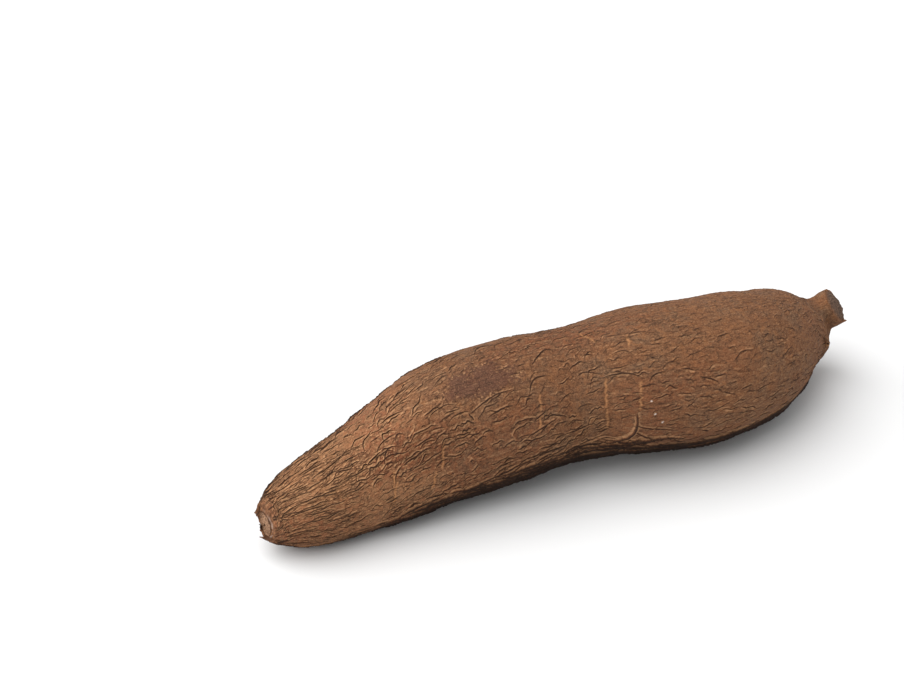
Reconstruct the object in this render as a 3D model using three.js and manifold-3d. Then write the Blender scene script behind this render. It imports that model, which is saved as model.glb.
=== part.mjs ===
// A cassava root as lifted and trimmed: one solid, lying on a table.
// Millimetres, +Z up. The root lies along X, its tip at -X and its cut stalk at +X,
// and the middle of its underside is the origin.

import * as THREE from "three";
import { mergeVertices } from "three/addons/utils/BufferGeometryUtils.js";
import Module from "manifold-3d";

// Growth stations from the tip to the stalk end: the middle of the root and its radius there.
const STATIONS = [
  { x: -153.5, y: -19, z: 12.5, r: 5.5 },
  { x: -151.5, y: -19.5, z: 13, r: 8.7 },
  { x: -145, y: -21, z: 16, r: 14 },
  { x: -135, y: -21.5, z: 18.7, r: 17.9 },
  { x: -118, y: -19, z: 20.5, r: 20.8 },
  { x: -95, y: -15.5, z: 24, r: 24.6 },
  { x: -65, y: -12.5, z: 31, r: 29.8 },
  { x: -35, y: -14, z: 34.5, r: 30.5 },
  { x: -5, y: -16.5, z: 35.5, r: 29.4 },
  { x: 25, y: -23, z: 38, r: 32.7 },
  { x: 55, y: -25.5, z: 35.5, r: 33.2 },
  { x: 85, y: -18, z: 30.5, r: 31.2 },
  { x: 108, y: -8, z: 27.5, r: 25.5 },
  { x: 124, y: -3, z: 24.2, r: 19.2 },
  { x: 135, y: 0.3, z: 23.5, r: 14.4 },
  { x: 141, y: 0.3, z: 25, r: 8.8 },
];

// The stalk stub, from inside the shoulder to its cut face, and its radius at each.
const STALK = { inside: [133, 2, 25.7], cut: [145.2, -6, 36], baseRadius: 8.8, cutRadius: 8.2 };

// The stalk's cut edge is knocked off by this much.
const STALK_EDGE = 0.5;

// Facets: rings along the root, and sides around it and around the stalk.
const RINGS = 76;
const SIDES = 44;
const STALK_SIDES = 32;

// The root isn't quite round: soft lobes that wander round it along its length.
const LOBES = [
  { count: 2, height: 0.018, twist: 2.2, start: 0.6 },
  { count: 3, height: 0.01, twist: -3.1, start: 1.9 },
];

// The lobes die away towards both ends, over this share of the length.
const LOBE_FADE = 0.12;

// Bark colour, dull and rough.
const BARK = { color: 0x7a5439, roughness: 0.85, metalness: 0 };

const wasm = await Module();
wasm.setup();

const spine = new THREE.CatmullRomCurve3(
  STATIONS.map(({ x, y, z }) => new THREE.Vector3(x, y, z)),
);
const girth = new THREE.SplineCurve(
  STATIONS.map(({ r }, i) => new THREE.Vector2(i, r)),
);

// A geometry with only its places, its shared corners merged.
function welded(geometry) {
  geometry.deleteAttribute("normal");
  geometry.deleteAttribute("uv");
  return mergeVertices(geometry, 1e-6);
}

// A closed geometry as a solid that can be joined to others.
function solid(geometry) {
  return new wasm.Manifold(
    new wasm.Mesh({
      numProp: 3,
      vertProperties: geometry.getAttribute("position").array,
      triVerts: new Uint32Array(geometry.index.array),
    }),
  );
}

// A joined solid back as a geometry.
function geometryOf(joined) {
  const { vertProperties, triVerts } = joined.getMesh();
  return new THREE.BufferGeometry()
    .setAttribute("position", new THREE.BufferAttribute(vertProperties, 3))
    .setIndex(new THREE.BufferAttribute(triVerts, 1));
}

// How far the radius stands out from round at a place along the root and an angle about it.
function lobesAt(along, angle) {
  const fade = THREE.MathUtils.smoothstep(Math.min(along, 1 - along), 0, LOBE_FADE);
  return LOBES.reduce(
    (sum, { count, height, twist, start }) =>
      sum + fade * height * Math.cos(count * (angle + start + twist * along)),
    0,
  );
}

// A round profile whose height is the place along the root, 0 to 1, closed flat at both ends.
function profile() {
  const outline = [new THREE.Vector2(0, 0)];
  for (let ring = 0; ring <= RINGS; ring += 1) {
    const along = ring / RINGS;
    outline.push(new THREE.Vector2(girth.getPoint(along).y, along));
  }
  outline.push(new THREE.Vector2(0, 1));
  return outline;
}

// The turned profile bent along the spine, each ring square to it.
function body() {
  const bent = welded(new THREE.LatheGeometry(profile(), SIDES));
  const places = bent.getAttribute("position");
  const up = new THREE.Vector3(0, 0, 1);
  const side = new THREE.Vector3();
  const rise = new THREE.Vector3();
  for (let i = 0; i < places.count; i += 1) {
    const along = THREE.MathUtils.clamp(places.getY(i), 0, 1);
    const angle = Math.atan2(places.getZ(i), places.getX(i));
    const round = Math.hypot(places.getX(i), places.getZ(i));
    const radius = round * (1 + lobesAt(along, angle));
    const tangent = spine.getTangent(along);
    side.crossVectors(tangent, up).normalize();
    rise.crossVectors(side, tangent);
    const place = spine
      .getPoint(along)
      .addScaledVector(side, radius * Math.cos(angle))
      .addScaledVector(rise, radius * Math.sin(angle));
    places.setXYZ(i, ...place);
  }
  return bent;
}

// The stub of stalk, a short taper pointing up and out of the shoulder.
function stalk() {
  const inside = new THREE.Vector3(...STALK.inside);
  const reach = new THREE.Vector3(...STALK.cut).sub(inside);
  const length = reach.length();
  const stub = new THREE.LatheGeometry(
    [
      new THREE.Vector2(0, 0),
      new THREE.Vector2(STALK.baseRadius, 0),
      new THREE.Vector2(STALK.cutRadius, length - STALK_EDGE),
      new THREE.Vector2(STALK.cutRadius - STALK_EDGE, length),
      new THREE.Vector2(0, length),
    ],
    STALK_SIDES,
  );
  const upright = new THREE.Vector3(0, 1, 0);
  stub.applyQuaternion(new THREE.Quaternion().setFromUnitVectors(upright, reach.normalize()));
  stub.translate(...inside);
  return welded(stub);
}

// Flattens what would reach below the table, so that the root rests on real flats.
function flattenUnderside(geometry) {
  const places = geometry.getAttribute("position");
  for (let i = 0; i < places.count; i += 1) places.setZ(i, Math.max(places.getZ(i), 0));
  return geometry;
}

// Moves the geometry so that the middle of its underside is the origin.
function standAtOrigin(geometry) {
  geometry.computeBoundingBox();
  const middle = geometry.boundingBox.getCenter(new THREE.Vector3());
  geometry.translate(-middle.x, -middle.y, -geometry.boundingBox.min.z);
  return geometry;
}

const shape = geometryOf(solid(flattenUnderside(body())).add(solid(stalk())));
const root = new THREE.Mesh(standAtOrigin(shape), new THREE.MeshStandardMaterial(BARK));
root.geometry.computeVertexNormals();
root.name = "cassava_root";

const part = new THREE.Group();
part.add(root);

export default part;
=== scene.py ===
"""A cassava root, lifted and trimmed, lying on a pale floor: flaking bark, a broken tip and a cut stalk."""

import logging
import math
from collections.abc import Mapping, Sequence
from dataclasses import dataclass, field, fields
from enum import Enum

import bpy
import numpy as np
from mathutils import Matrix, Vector
from mathutils.bvhtree import BVHTree


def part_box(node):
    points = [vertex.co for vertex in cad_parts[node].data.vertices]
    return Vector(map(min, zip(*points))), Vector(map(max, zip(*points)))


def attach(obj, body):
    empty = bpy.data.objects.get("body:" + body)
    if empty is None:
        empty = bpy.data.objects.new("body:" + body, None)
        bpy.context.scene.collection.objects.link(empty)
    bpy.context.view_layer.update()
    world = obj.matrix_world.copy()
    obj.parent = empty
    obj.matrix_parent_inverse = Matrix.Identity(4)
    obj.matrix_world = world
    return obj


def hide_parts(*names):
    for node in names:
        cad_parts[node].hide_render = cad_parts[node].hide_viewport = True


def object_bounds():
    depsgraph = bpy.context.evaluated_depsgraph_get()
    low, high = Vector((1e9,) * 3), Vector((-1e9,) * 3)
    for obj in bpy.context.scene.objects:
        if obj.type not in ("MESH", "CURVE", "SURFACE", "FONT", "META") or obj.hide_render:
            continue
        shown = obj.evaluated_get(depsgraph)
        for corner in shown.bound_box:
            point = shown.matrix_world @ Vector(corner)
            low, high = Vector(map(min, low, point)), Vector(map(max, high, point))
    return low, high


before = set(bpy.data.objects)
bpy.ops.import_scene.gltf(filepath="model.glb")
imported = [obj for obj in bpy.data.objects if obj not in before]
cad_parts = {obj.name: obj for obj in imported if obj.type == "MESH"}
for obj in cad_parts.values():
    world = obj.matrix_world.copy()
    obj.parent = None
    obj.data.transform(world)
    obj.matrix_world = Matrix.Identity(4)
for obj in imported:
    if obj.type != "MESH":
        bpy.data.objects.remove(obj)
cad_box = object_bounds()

log = logging.getLogger("cassava")

Triple = tuple[float, float, float]
Place = tuple[float, float]

MM = 0.001
FULL_TINT = 255

# Large primes that scatter the cells of the noise.
CELL_PRIMES = (73856093, 19349663, 83492791)
SEED_PRIME = 374761393
SCATTER_PRIME = 1274126177


def tint(red: int, green: int, blue: int) -> Triple:
    """A colour as mixed on a screen, from 0 to 255 each, turned into light.

    Args:
        red: its red.
        green: its green.
        blue: its blue.

    Returns:
        The colour as three shares of light.
    """
    shares = [part / FULL_TINT for part in (red, green, blue)]
    return tuple(s / 12.92 if s < 0.04045 else ((s + 0.055) / 1.055) ** 2.4 for s in shares)


def smoothstep(values: np.ndarray, low: float, high: float) -> np.ndarray:
    """An even rise from 0 at low to 1 at high.

    Args:
        values: where it is wanted.
        low: where the rise starts.
        high: where it ends; below low, the step falls instead.

    Returns:
        The height of the step at each value.
    """
    share = np.clip((values - low) / (high - low), 0, 1)
    return share * share * (3 - 2 * share)


def grain(places: np.ndarray, seed: int) -> np.ndarray:
    """Smooth noise between -1 and 1 whose cells are one unit wide.

    Args:
        places: points, the last axis being x, y and z in cells.
        seed: which noise.

    Returns:
        The noise at each point.
    """
    cell = np.floor(places).astype(np.int64)
    part = places - cell
    part = part * part * (3 - 2 * part)
    total = np.zeros(places.shape[:-1])
    for corner in np.ndindex(2, 2, 2):
        key = seed * SEED_PRIME
        weight = 1.0
        for axis, (step, prime) in enumerate(zip(corner, CELL_PRIMES)):
            key = key ^ ((cell[..., axis] + step) * prime)
            weight = weight * (part[..., axis] if step else 1 - part[..., axis])
        key = (key ^ (key >> 13)) * SCATTER_PRIME
        total += weight * ((key >> 8 & 0xFFFF) / 32767.5 - 1)
    return total


def plates(places: np.ndarray, seed: int) -> np.ndarray:
    """Flat blocks, each with one value between -1 and 1, that overlap like rows of bricks.

    Args:
        places: points, the last axis being x, y and z in blocks, a row of bricks lying along z.
        seed: which blocks.

    Returns:
        The value of the block at each point.
    """
    cell = np.floor(places + 0.5 * grain(places * 0.9, seed)[..., None])
    row = cell * (1, 1, 0) + 0.5
    slide = grain(np.floor(row) * 1.37 + 0.3, seed + 1)
    brick = np.floor(places[..., 2] + slide + 0.4 * grain(places * 1.3, seed + 2))
    return grain(np.stack([cell[..., 0], cell[..., 1], brick], -1) * 1.61 + 0.2, seed + 3)


def blur(sheet: np.ndarray, rows: float, columns: float) -> np.ndarray:
    """A soft copy of a sheet whose columns close round the root.

    Args:
        sheet: the values, one row to each ring.
        rows: the spread along the root, in rings.
        columns: the spread round it, in sides.

    Returns:
        The softened sheet.
    """
    if columns > 0:
        waves = np.fft.rfftfreq(sheet.shape[1])
        fall = np.exp(-2 * (math.pi * columns * waves) ** 2)
        sheet = np.fft.irfft(np.fft.rfft(sheet, axis=1) * fall, sheet.shape[1], axis=1)
    if rows > 0:
        pad = min(int(4 * rows) + 1, len(sheet) - 1)
        wide = np.pad(sheet, ((pad, pad), (0, 0)), mode="edge")
        waves = np.fft.rfftfreq(len(wide))
        fall = np.exp(-2 * (math.pi * rows * waves) ** 2)
        wide = np.fft.irfft(np.fft.rfft(wide, axis=0) * fall[:, None], len(wide), axis=0)
        sheet = wide[pad:-pad]
    return sheet


def wrapped(angle: np.ndarray) -> np.ndarray:
    """Angles brought within half a turn of nought."""
    return np.angle(np.exp(1j * angle))


def link(name: str, data: bpy.types.ID) -> bpy.types.Object:
    """Put a new object into the scene.

    Args:
        name: its name.
        data: the mesh, lamp or camera that it holds.

    Returns:
        The object.
    """
    made = bpy.data.objects.new(name, data)
    bpy.context.scene.collection.objects.link(made)
    return made


def keep(mesh: bpy.types.Mesh, name: str, values: np.ndarray) -> None:
    """Keep three values for each of a mesh's points under a name that its finish reads."""
    kept = mesh.attributes.new(name, "FLOAT_VECTOR", "POINT")
    kept.data.foreach_set("vector", values.astype(np.float32).ravel())


def unit(rows: np.ndarray) -> np.ndarray:
    """Directions one unit long.

    Args:
        rows: directions of any length, on the last axis.

    Returns:
        The same directions, one long.
    """
    return rows / np.linalg.norm(rows, axis=-1, keepdims=True)


class Sock:
    """One output of a node, which takes part in Python sums."""

    def __init__(self, recipe: "Recipe", out: bpy.types.NodeSocket) -> None:
        """Wrap an output.

        Args:
            recipe: the finish that the node belongs to.
            out: the node's output.
        """
        self.recipe = recipe
        self.out = out

    def _sum(self, operation: str, first: object, second: object) -> "Sock":
        """The result of one Math node on two values."""
        return self.recipe.node("ShaderNodeMath", {"operation": operation}, {0: first, 1: second})

    def __add__(self, other: object) -> "Sock":
        """This plus other."""
        return self._sum("ADD", self, other)

    def __radd__(self, other: object) -> "Sock":
        """Other plus this."""
        return self._sum("ADD", other, self)

    def __sub__(self, other: object) -> "Sock":
        """This less other."""
        return self._sum("SUBTRACT", self, other)

    def __rsub__(self, other: object) -> "Sock":
        """Other less this."""
        return self._sum("SUBTRACT", other, self)

    def __mul__(self, other: object) -> "Sock":
        """This times other."""
        return self._sum("MULTIPLY", self, other)

    def __rmul__(self, other: object) -> "Sock":
        """Other times this."""
        return self._sum("MULTIPLY", other, self)


class Recipe:
    """The nodes that make up one finish."""

    def __init__(self, owner: bpy.types.Material | bpy.types.World) -> None:
        """Start an empty finish.

        Args:
            owner: the new material or world that it belongs to.
        """
        self.owner = owner
        owner.use_nodes = True
        self.tree = owner.node_tree
        self.tree.nodes.clear()

    def node(
        self,
        kind: str,
        settings: Mapping[str, object] | None = None,
        sockets: Mapping[str | int, object] | None = None,
        out: str | int = 0,
    ) -> Sock:
        """Add a node.

        Args:
            kind: its type.
            settings: its own settings, which are set first.
            sockets: what goes into its inputs, each a value or another node's output.
            out: which output is wanted.

        Returns:
            The wanted output.
        """
        made = self.tree.nodes.new(kind)
        for name, value in (settings or {}).items():
            setattr(made, name, value)
        for name, value in (sockets or {}).items():
            socket = self._find(made.inputs, name)
            if isinstance(value, Sock):
                self.tree.links.new(value.out, socket)
            elif isinstance(value, tuple) and socket.type == "RGBA":
                socket.default_value = (*value, 1.0)
            else:
                socket.default_value = value
        return Sock(self, self._find(made.outputs, out) if made.outputs else None)

    @staticmethod
    def _find(sockets: Sequence[bpy.types.NodeSocket], name: str | int) -> bpy.types.NodeSocket:
        """Find one socket among a node's inputs or outputs.

        Args:
            sockets: the node's inputs or outputs.
            name: the socket's place, identifier or name.

        Returns:
            The socket.
        """
        if isinstance(name, int):
            return sockets[name]
        exact = [s for s in sockets if s.identifier == name]
        return (exact or [s for s in sockets if s.name == name])[0]

    def attribute(self, name: str) -> Sock:
        """Three numbers kept on the mesh under this name."""
        settings = {"attribute_name": name, "attribute_type": "GEOMETRY"}
        return self.node("ShaderNodeAttribute", settings, out="Vector")

    def parts(self, vector: Sock) -> tuple[Sock, Sock, Sock]:
        """The three numbers of a vector, one by one.

        Args:
            vector: the vector.

        Returns:
            Its x, y and z.
        """
        split = self.node("ShaderNodeSeparateXYZ", {}, {0: vector})
        return tuple(Sock(self, out) for out in split.out.node.outputs)

    def stretched(self, vector: Sock, scale: Triple) -> Sock:
        """The vector with each of its numbers scaled."""
        return self.node("ShaderNodeVectorMath", {"operation": "MULTIPLY"}, {0: vector, 1: scale})

    def noise(self, vector: Sock, scale: float, detail: float = 3.0, rough: float = 0.55) -> Sock:
        """Soft noise from 0 to 1.

        Args:
            vector: where it is read.
            scale: how many cells to a unit.
            detail: how many finer layers it has.
            rough: how strong they are.

        Returns:
            The noise.
        """
        sockets = {"Vector": vector, "Scale": scale, "Detail": detail, "Roughness": rough}
        return self.node("ShaderNodeTexNoise", {}, sockets)

    def layered(self, base: Triple, layers: Sequence[tuple[Triple, Sock]]) -> Sock:
        """Colours laid over one another.

        Args:
            base: the lowest colour.
            layers: each colour above it and how much of it shows, lowest first.

        Returns:
            The colour that they make together.
        """
        colour = base
        for top, share in layers:
            colour = self.mix(colour, top, share)
        return colour

    def step(self, value: Sock, low: float, high: float) -> Sock:
        """A smooth rise from 0 at low to 1 at high.

        Args:
            value: what it follows.
            low: where it starts.
            high: where it ends.

        Returns:
            The step.
        """
        settings = {"interpolation_type": "SMOOTHSTEP"}
        return self.node("ShaderNodeMapRange", settings, {0: value, 1: low, 2: high})

    def mix(self, base: Sock | Triple, top: Sock | Triple, share: Sock) -> Sock:
        """One colour over another.

        Args:
            base: the colour below.
            top: the colour above.
            share: how much of the upper one shows.

        Returns:
            The mixed colour.
        """
        settings = {"data_type": "RGBA", "blend_type": "MIX", "clamp_factor": True}
        sockets = {"Factor_Float": share, "A_Color": base, "B_Color": top}
        return self.node("ShaderNodeMix", settings, sockets, out="Result_Color")

    def finish(self, shader: Sock) -> bpy.types.Material | bpy.types.World:
        """Send the shader to the surface.

        Args:
            shader: the finished shader.

        Returns:
            The material or world that wears it.
        """
        kind = "World" if isinstance(self.owner, bpy.types.World) else "Material"
        self.node(f"ShaderNodeOutput{kind}", {}, {"Surface": shader})
        return self.owner


@dataclass(frozen=True)
class BarkFinish:
    """Dull cassava bark, its plates, splits and raised edges, and the two bare ends, with painted highlight
    on the ridges and on top near the tip, and painted shade in the hollows, in the middle and on the
    underside.
    """

    plate: Triple = tint(120, 80, 53)
    grey_plate: Triple = tint(112, 83, 61)
    ochre: Triple = tint(142, 92, 55)
    deep: Triple = tint(76, 46, 29)
    red: Triple = tint(118, 62, 40)
    # pale bark, also laid as painted highlight on the ridges and towards the tip
    worn_edge: Triple = tint(180, 136, 97)
    # the dark of the splits, also laid as painted shade in the hollows, in the middle and on the underside
    split: Triple = tint(30, 17, 10)
    bare_skin: Triple = tint(84, 54, 45)
    scar: Triple = tint(168, 116, 74)
    flesh: Triple = tint(150, 116, 90)
    stalk_wood: Triple = tint(104, 82, 68)
    speck: Triple = tint(196, 180, 168)
    grit_strength: float = 0.9
    grit_height: float = 0.45
    shine: float = 0.2

    def material(self) -> bpy.types.Material:
        """Mix the finish.

        Returns:
            The bark's material.
        """
        r = Recipe(bpy.data.materials.new("bark"))
        grown = r.attribute("grown")
        crack, worn, scar = r.parts(r.attribute("marks"))
        bare, blush, grey = r.parts(r.attribute("tone"))
        tip, stalk, speck = r.parts(r.attribute("ends"))
        # painted light read from the mesh: painted shade on the underside, painted highlight on top near
        # the tip, and painted shade in the middle with painted light towards the tip
        underside_shade, pale, dull = r.parts(r.attribute("painted_light"))
        streaks = r.noise(r.stretched(grown, (1.0, 1.0, 0.15)), 0.9, 4.0, 0.65)
        hairs = r.noise(r.stretched(grown, (1.0, 1.0, 0.25)), 2.4, 3.0, 0.65)
        patches = r.noise(grown, 0.1, 3.0, 0.6)
        clouds = r.noise(grown, 0.4, 4.0, 0.65)
        dust = r.noise(grown, 1.7, 3.0, 0.7)
        crazing = self._crazing(r, grown) * r.step(clouds, 0.62, 0.42)
        # painted shade in the hollows of the relief and painted highlight on its ridges
        hollow = r.step(0 - worn, 0.1, 0.9)
        raised = r.step(worn, 0.12, 0.8)
        # painted shade: darkest on the underside and in its hollows, a little in the middle of the root and
        # on the red patch, and a touch everywhere
        shade = underside_shade * (0.72 + 0.28 * hollow) + dull * 0.09 + 0.05
        layers = [
            (self.grey_plate, grey * r.step(patches, 0.35, 0.6)),
            # partly painted light: more ochre on top near the tip
            (self.ochre, r.step(clouds, 0.46, 0.7) * 0.6 + pale * 0.25),
            # painted light: paler towards the tip
            (self.worn_edge, r.step(0 - dull, 0.0, 1.0) * 0.24),
            (self.deep, r.step(streaks, 0.5, 0.72) * 0.55),
            (self.red, blush * r.step(clouds, 0.36, 0.6) * 0.6),
            (self.bare_skin, bare * (0.45 + 0.45 * clouds)),
            (self.deep, r.step(dust, 0.48, 0.68) * 0.68),
            (self.worn_edge, r.step(dust, 0.48, 0.3) * 0.28),
            (self.worn_edge, r.step(hairs, 0.56, 0.76) * 0.35),
            # painted highlight on the ridges, stronger on top near the tip
            (self.worn_edge, raised * (0.3 + 0.55 * clouds + 0.3 * pale)),
            (self.scar, scar * (0.4 + 0.6 * clouds)),
            # painted shade in the hollows
            (self.split, hollow * 0.65),
            (self.split, crazing * 0.45),
            (self.split, crack * 0.96),
            # painted shade laid over the whole bark
            (self.split, shade),
            (r.mix(self.flesh, self.deep, r.step(dust, 0.44, 0.62) * 0.8), tip),
            (r.mix(self.stalk_wood, self.split, r.step(dust, 0.4, 0.66) * 0.7), stalk),
            (self.speck, speck),
        ]
        height = streaks * 0.6 + hairs * 0.5 + dust * 0.6 - crazing * 0.5
        grit = {"Height": height, "Strength": self.grit_strength, "Distance": self.grit_height * MM}
        sockets = {
            "Base Color": r.layered(self.plate, layers),
            "Roughness": 0.78 + 0.2 * streaks,
            "Normal": r.node("ShaderNodeBump", {}, grit),
            "Specular IOR Level": self.shine,
        }
        return r.finish(r.node("ShaderNodeBsdfPrincipled", {}, sockets))

    @staticmethod
    def _crazing(r: Recipe, grown: Sock) -> Sock:
        """Hair-thin splits between small plates that lie along the root.

        Args:
            r: the nodes.
            grown: places that follow the root's growth.

        Returns:
            1 in a split and 0 on a plate.
        """
        sway = r.node("ShaderNodeTexNoise", {}, {"Vector": grown, "Scale": 0.5, "Detail": 3.0}, out="Color")
        sway = r.stretched(sway, (2.6, 2.6, 2.6))
        bent = r.node("ShaderNodeVectorMath", {"operation": "ADD"}, {0: grown, 1: sway})
        settings = {"feature": "DISTANCE_TO_EDGE"}
        sockets = {"Vector": r.stretched(bent, (1.0, 1.0, 0.38)), "Scale": 0.42}
        edge = r.node("ShaderNodeTexVoronoi", settings, sockets, out="Distance")
        return r.step(edge, 0.075, 0.0)


@dataclass
class Skin:
    """The root's smooth skin: rings from the broken tip to the cut stalk, laid on the solid.

    Lengths are in millimetres. A ring's sides start at its underside and go round by way of the front.
    """

    solid: bpy.types.Object
    rings: int = 1260
    sides: int = 760
    cast_rings: int = 260
    cast_sides: int = 160
    # The cut stalk's middle from the box's highest corner, and the way the cut faces.
    stalk_from_corner: Triple = (-7.0, -22.4, -36.4)
    stalk_way: Triple = (0.685, -0.444, 0.577)
    # The broken tip's middle from the box's lowest corner, and the way into the root there.
    tip_from_corner: Triple = (2.0, 39.9, 12.6)
    tip_way: Triple = (0.98, 0.1, 0.0)
    # Where the middle leaves the body and climbs to the stalk, from the stalk's middle.
    neck: tuple[Triple, ...] = (
        (-24.0, 1.0, -10.5),
        (-14.0, 2.0, -9.5),
        (-8.0, 2.5, -7.0),
        (-3.0, 1.5, -2.5),
    )
    # The lengths over which the rings turn to face along the stalk and the tip.
    neck_turn: float = 30.0
    tip_turn: float = 14.0
    # How far along, in millimetres, and round, in degrees, each part is softened.
    softness: Place = (2.6, 4.0)
    tip_softness: Place = (0.7, 2.0)
    stalk_softness: Place = (1.1, 6.0)
    stalk_swell: float = 0.7
    # How far apart the middle line's stations are, how far they keep off both ends, how many
    # points the line then has, and how many points its kinks and its turns are rounded over.
    station_gap: float = 6.0
    end_gap: float = 8.0
    line_points: int = 1200
    line_rounding: float = 14.0
    turn_rounding: float = 22.0

    def lay(self) -> "Skin":
        """Find the middle line, set the rings square to it and cast them onto the solid.

        Returns:
            This skin, laid.
        """
        low, high = (np.array(corner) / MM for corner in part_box(self.solid.name))
        depsgraph = bpy.context.evaluated_depsgraph_get()
        self.tree = BVHTree.FromObject(self.solid, depsgraph)
        self.tip = low + self.tip_from_corner
        self.stalk = high + self.stalk_from_corner
        line = self._middle_line(high)
        steps = np.linalg.norm(np.diff(line, axis=0), axis=1)
        reach = np.concatenate([[0], np.cumsum(steps)])
        self.length = float(reach[-1])
        self.along = np.linspace(0, self.length, self.rings)
        self.turn = np.linspace(0, 2 * math.pi, self.sides, endpoint=False) - math.pi / 2
        self._set_rings(line, reach)
        self._cast()
        return self

    def _middle_line(self, high: np.ndarray) -> np.ndarray:
        """The middle of the root as closely spaced points.

        Args:
            high: the box's highest corner.

        Returns:
            The points, from the tip to the stalk's cut.
        """
        middle = np.array([0.0, 0.0, high[2] / 2])
        neck = self.stalk + np.array(self.neck)
        stations = np.arange(self.tip[0] + self.end_gap, neck[0][0] - self.end_gap, self.station_gap)
        found = {}
        half = len(stations) // 2
        for order in (range(half, len(stations)), range(half, -1, -1)):
            here = found[half] if half in found else middle
            for i in order:
                here = self._section_middle(np.array([stations[i], here[1], here[2]]))
                found[i] = here
        body = [found[i] for i in range(len(stations))]
        points = np.array([self.tip, *body, *neck, self.stalk])
        chord = np.concatenate([[0], np.cumsum(np.linalg.norm(np.diff(points, axis=0), axis=1))])
        fine = np.linspace(0, chord[-1], self.line_points)
        line = np.stack([np.interp(fine, chord, points[:, axis]) for axis in range(3)], 1)
        bends = line - line[0]
        smooth = self._smooth_line(bends, self.line_rounding)
        fade = smoothstep(np.minimum(fine, chord[-1] - fine), 0, 12)[:, None]
        return line[0] + bends * (1 - fade) + smooth * fade

    @staticmethod
    def _smooth_line(line: np.ndarray, spread: float) -> np.ndarray:
        """A line with its kinks rounded off.

        Args:
            line: its points.
            spread: how many points the rounding spreads over.

        Returns:
            The rounded line's points.
        """
        reach = int(4 * spread)
        kernel = np.exp(-0.5 * (np.arange(-reach, reach + 1) / spread) ** 2)
        kernel /= kernel.sum()
        first = 2 * line[0] - line[reach:0:-1]
        last = 2 * line[-1] - line[-2 : -reach - 2 : -1]
        wide = np.concatenate([first, line, last])
        return np.stack([np.convolve(wide[:, axis], kernel, "valid") for axis in range(3)], 1)

    def _section_middle(self, guess: np.ndarray) -> np.ndarray:
        """The middle of an upright section.

        Args:
            guess: a point of the section, inside the root.

        Returns:
            The section's middle.
        """
        here = guess
        for _ in range(3):
            hits = []
            for angle in np.linspace(0, 2 * math.pi, 24, endpoint=False):
                way = Vector((0, math.cos(angle), math.sin(angle)))
                hit = self.tree.ray_cast(Vector(here * MM), way)[0]
                if hit:
                    hits.append(np.array(hit) / MM)
            edge = np.array(hits)
            here = (edge.min(0) + edge.max(0)) / 2
        return here

    def _set_rings(self, line: np.ndarray, reach: np.ndarray) -> None:
        """Give each ring its middle and its directions ahead, sideways and up.

        Args:
            line: the middle line's points.
            reach: how far along the root each of them is.
        """
        self.middle = np.stack([np.interp(self.along, reach, line[:, axis]) for axis in range(3)], 1)
        ahead = unit(np.gradient(self.middle, axis=0))
        ahead = unit(self._smooth_line(ahead, self.turn_rounding))
        leave = int(np.searchsorted(self.along, self.length - self.neck_turn))
        share = smoothstep(self.along, self.length - self.neck_turn, self.length - 2)[:, None]
        turned = ahead[leave] * (1 - share) + np.array(self.stalk_way) * share
        ahead = unit(np.where(share > 0, turned, ahead))
        share = smoothstep(self.along, self.tip_turn, 1.0)[:, None]
        ahead = unit(ahead * (1 - share) + unit(np.array(self.tip_way)) * share)
        self.ahead = ahead
        self.side = unit(np.cross(ahead, [0, 0, 1]))
        self.rise = np.cross(self.side, ahead)

    def _cast(self) -> None:
        """Measure from each ring's middle out to the solid, and soften the facets away."""
        rows = np.linspace(0, self.rings - 1, self.cast_rings)
        turns = np.linspace(0, 2 * math.pi, self.cast_sides, endpoint=False) - math.pi / 2
        rough = np.zeros((self.cast_rings, self.cast_sides))
        for i, row in enumerate(rows):
            ring = int(round(row))
            start = Vector(self.middle[ring] * MM)
            for j, angle in enumerate(turns):
                way = Vector(self.side[ring] * math.cos(angle) + self.rise[ring] * math.sin(angle))
                hit = self.tree.ray_cast(start, way)[3]
                rough[i, j] = hit / MM if hit else np.nan
        for i in range(self.cast_rings):
            if np.isnan(rough[i]).any():
                rough[i] = np.where(np.isnan(rough[i]), np.nanmean(rough[i]), rough[i])
        wide = np.concatenate([rough, rough[:, :1]], 1)
        ends = np.append(turns, turns[0] + 2 * math.pi)
        across = np.array([np.interp(self.turn, ends, row) for row in wide])
        full = np.stack([np.interp(np.arange(self.rings), rows, column) for column in across.T], 1)
        step = self.length / (self.rings - 1)
        degrees = 360 / self.sides
        spreads = (self.softness, self.tip_softness, self.stalk_softness)
        soft, crisp, neck = (blur(full, along / step, turn / degrees) for along, turn in spreads)
        neck += self.stalk_swell * smoothstep(self.along, self.length - 7, self.length - 2)[:, None]
        share = smoothstep(self.along, 2, 22)[:, None]
        late = smoothstep(self.along, self.length - 22, self.length - 8)[:, None]
        self.radius = (crisp * (1 - share) + soft * share) * (1 - late) + neck * late
        self.girth = self.radius.mean(1)

    def places(self) -> np.ndarray:
        """Where the skin's points are.

        Returns:
            The points, ring by ring.
        """
        cos, sin = np.cos(self.turn)[None, :, None], np.sin(self.turn)[None, :, None]
        out = self.side[:, None, :] * cos + self.rise[:, None, :] * sin
        return self.middle[:, None, :] + out * self.radius[:, :, None]

    @staticmethod
    def facing(places: np.ndarray) -> np.ndarray:
        """The way each point of the skin faces.

        Args:
            places: the skin's points, ring by ring.

        Returns:
            Directions out of the root, one long.
        """
        along = np.gradient(places, axis=0)
        around = np.roll(places, -1, 1) - np.roll(places, 1, 1)
        return unit(np.cross(around, along))

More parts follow.
